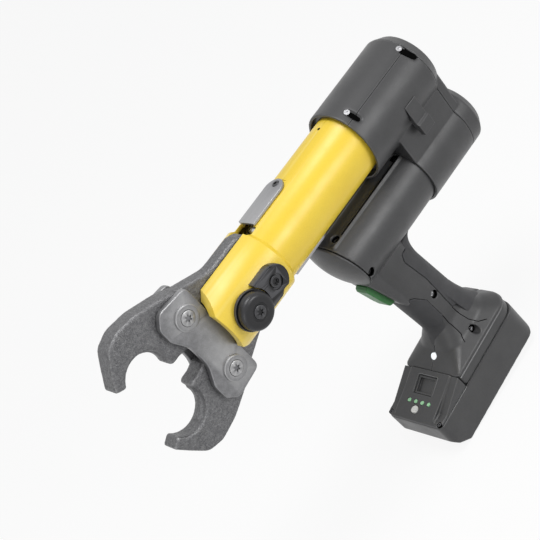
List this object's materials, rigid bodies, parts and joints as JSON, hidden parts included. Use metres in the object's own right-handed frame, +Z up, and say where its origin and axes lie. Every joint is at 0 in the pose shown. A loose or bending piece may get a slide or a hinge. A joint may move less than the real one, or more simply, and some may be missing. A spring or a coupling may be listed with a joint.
{
  "type": "battery radial press tool",
  "caption": "Cordless hydraulic press tool with a swivelling yellow press tube, opened steel press tongs, pistol grip with trigger and slide-on battery.",
  "frame": {"origin": "at the middle of the battery's flat base, which the tool stands on", "axes": "+X forward along the press tube towards the jaws, +Y to the tool's left where the locking pin's knob is, +Z up from battery to tube"},
  "size_m": [0.4304, 0.0895, 0.3683],
  "materials": {
    "yellow_paint": "satin golden yellow powder coat",
    "dark_plastic": "fine textured dark grey glass filled plastic",
    "soft_grip": "soft dark grey overmould",
    "forged_steel": "forged and phosphated grey, rough",
    "plate_steel": "smooth grey phosphated plate",
    "guard_steel": "bare rolled sheet",
    "bright_steel": "turned bright steel",
    "black_metal": "black satin coat",
    "green_plastic": "satin green plastic",
    "bronze": "bearing bronze",
    "aluminium": "machined aluminium",
    "winding": "laminated core with copper winding",
    "black_plastic": "black moulded plastic",
    "circuit_board": "green circuit board",
    "clear_lens": "clear lamp lens",
    "gold_contact": "plated contact blade",
    "cell_wrap": "shrink wrapped cell",
    "light_window": "pale green light window",
    "white_plastic": "white moulded plastic"
  },
  "bodies": {
    "drive_unit": {"rear_housing_left": "dark_plastic", "rear_housing_right": "dark_plastic", "top_cover": "dark_plastic", "rear_cover": "dark_plastic", "cover_screws": "bright_steel", "motor_housing_left": "dark_plastic", "motor_housing_right": "dark_plastic", "nose_cap": "dark_plastic", "housing_screws": "bright_steel", "motor_can": "guard_steel", "shaft_bearings": "bright_steel", "pump_block": "aluminium", "pump_plunger": "bright_steel", "ram_cylinder": "bright_steel", "cylinder_gland": "black_metal", "return_spring": "bright_steel", "swivel_bush": "bronze", "collar_ring": "black_plastic", "switch_body": "black_plastic", "grip_inlay_rear": "soft_grip", "grip_inlay_front": "soft_grip", "control_board": "circuit_board", "lamp_lens": "clear_lens", "contact_block": "black_plastic"},
    "press_head": {"press_tube": "yellow_paint", "guard_plate_upper": "guard_steel", "guard_plate_lower": "guard_steel", "guard_screws": "bright_steel", "catch_bracket": "black_metal", "tong_plate_left": "plate_steel", "tong_plate_right": "plate_steel", "jaw_pins": "plate_steel", "jaw_pin_screws": "plate_steel"},
    "ram": {"roller_carrier": "forged_steel", "roller_axles": "bright_steel", "ram_piston": "bright_steel"},
    "upper_roller": {"roller_upper": "bright_steel"},
    "lower_roller": {"roller_lower": "bright_steel"},
    "upper_jaw": {"jaw_upper": "forged_steel"},
    "lower_jaw": {"jaw_lower": "forged_steel"},
    "pin_group": {"locking_pin": "bright_steel", "pin_knob": "black_metal", "knob_screw": "bright_steel"},
    "catch": {"catch_button": "black_metal"},
    "slider": {"release_slider": "dark_plastic"},
    "trigger_key": {"trigger": "green_plastic"},
    "pump_drive": {"pump_shaft": "bright_steel", "drive_gear": "bright_steel"},
    "rotor": {"motor_shaft": "bright_steel", "motor_rotor": "winding", "motor_pinion": "bright_steel", "cooling_fan": "black_plastic"},
    "battery": {"battery_tray": "dark_plastic", "battery_cover": "dark_plastic", "battery_cells": "cell_wrap", "battery_contacts": "gold_contact", "charge_lights": "light_window", "battery_screws": "black_metal"},
    "latch": {"battery_latch": "black_plastic"},
    "button": {"charge_button": "white_plastic"}
  },
  "joints": [
    {"name": "head_swivel", "type": "hinge", "parent": "drive_unit", "child": "press_head", "pos_m": [-0.0399, 0, 0.28949], "axis": [1, 0, 0], "continuous": true},
    {"name": "ram_slide", "type": "slide", "parent": "press_head", "child": "ram", "axis": [1, 0, 0], "range_m": [0, 0.047], "deforming": ["return_spring"]},
    {"name": "upper_roller_spin", "type": "hinge", "parent": "ram", "child": "upper_roller", "pos_m": [0.0721, 0, 0.30249], "axis": [0, 1, 0], "continuous": true},
    {"name": "lower_roller_spin", "type": "hinge", "parent": "ram", "child": "lower_roller", "pos_m": [0.0721, 0, 0.27649], "axis": [0, 1, 0], "continuous": true},
    {"name": "upper_jaw_pivot", "type": "hinge", "parent": "press_head", "child": "upper_jaw", "pos_m": [0.1821, 0, 0.32379], "axis": [0, 1, 0], "range_deg": [0, 26.5]},
    {"name": "lower_jaw_pivot", "type": "hinge", "parent": "press_head", "child": "lower_jaw", "pos_m": [0.1821, 0, 0.25519], "axis": [0, 1, 0], "range_deg": [-26.5, 0]},
    {"name": "locking_pin_pull", "type": "slide", "parent": "press_head", "child": "pin_group", "axis": [0, 1, 0], "range_m": [0, 0.058]},
    {"name": "catch_press", "type": "slide", "parent": "press_head", "child": "catch", "axis": [0, -1, 0], "range_m": [0, 0.002], "stiffness_N_per_m": 400, "springref_m": -0.001},
    {"name": "release_slide", "type": "slide", "parent": "drive_unit", "child": "slider", "axis": [1, 0, 0], "range_m": [0, 0.003], "stiffness_N_per_m": 600, "springref_m": -0.001},
    {"name": "trigger_pull", "type": "slide", "parent": "drive_unit", "child": "trigger_key", "axis": [-1, 0, 0], "range_m": [0, 0.005], "stiffness_N_per_m": 900, "springref_m": -0.002},
    {"name": "pump_drive_spin", "type": "hinge", "parent": "drive_unit", "child": "pump_drive", "pos_m": [-0.0399, 0, 0.24349], "axis": [1, 0, 0], "continuous": true},
    {"name": "rotor_spin", "type": "hinge", "parent": "drive_unit", "child": "rotor", "pos_m": [-0.0399, 0, 0.21649], "axis": [1, 0, 0], "continuous": true},
    {"name": "battery_slide", "type": "slide", "parent": "drive_unit", "child": "battery", "axis": [0.9976, 0, -0.0698], "range_m": [0, 0.1]},
    {"name": "latch_press", "type": "slide", "parent": "battery", "child": "latch", "axis": [-0.3584, 0, -0.9336], "range_m": [0, 0.002], "stiffness_N_per_m": 500, "springref_m": -0.001},
    {"name": "charge_button_press", "type": "slide", "parent": "battery", "child": "button", "axis": [-0.0698, 0, -0.9976], "range_m": [0, 0.001], "stiffness_N_per_m": 400, "springref_m": -0.001}
  ],
  "couplings": [
    {"joint": "upper_jaw_pivot", "follows": "ram_slide", "rad_per_m": 9.84},
    {"joint": "lower_jaw_pivot", "follows": "ram_slide", "rad_per_m": -9.84},
    {"joint": "rotor_spin", "follows": "pump_drive_spin", "ratio": -2.6}
  ]
}
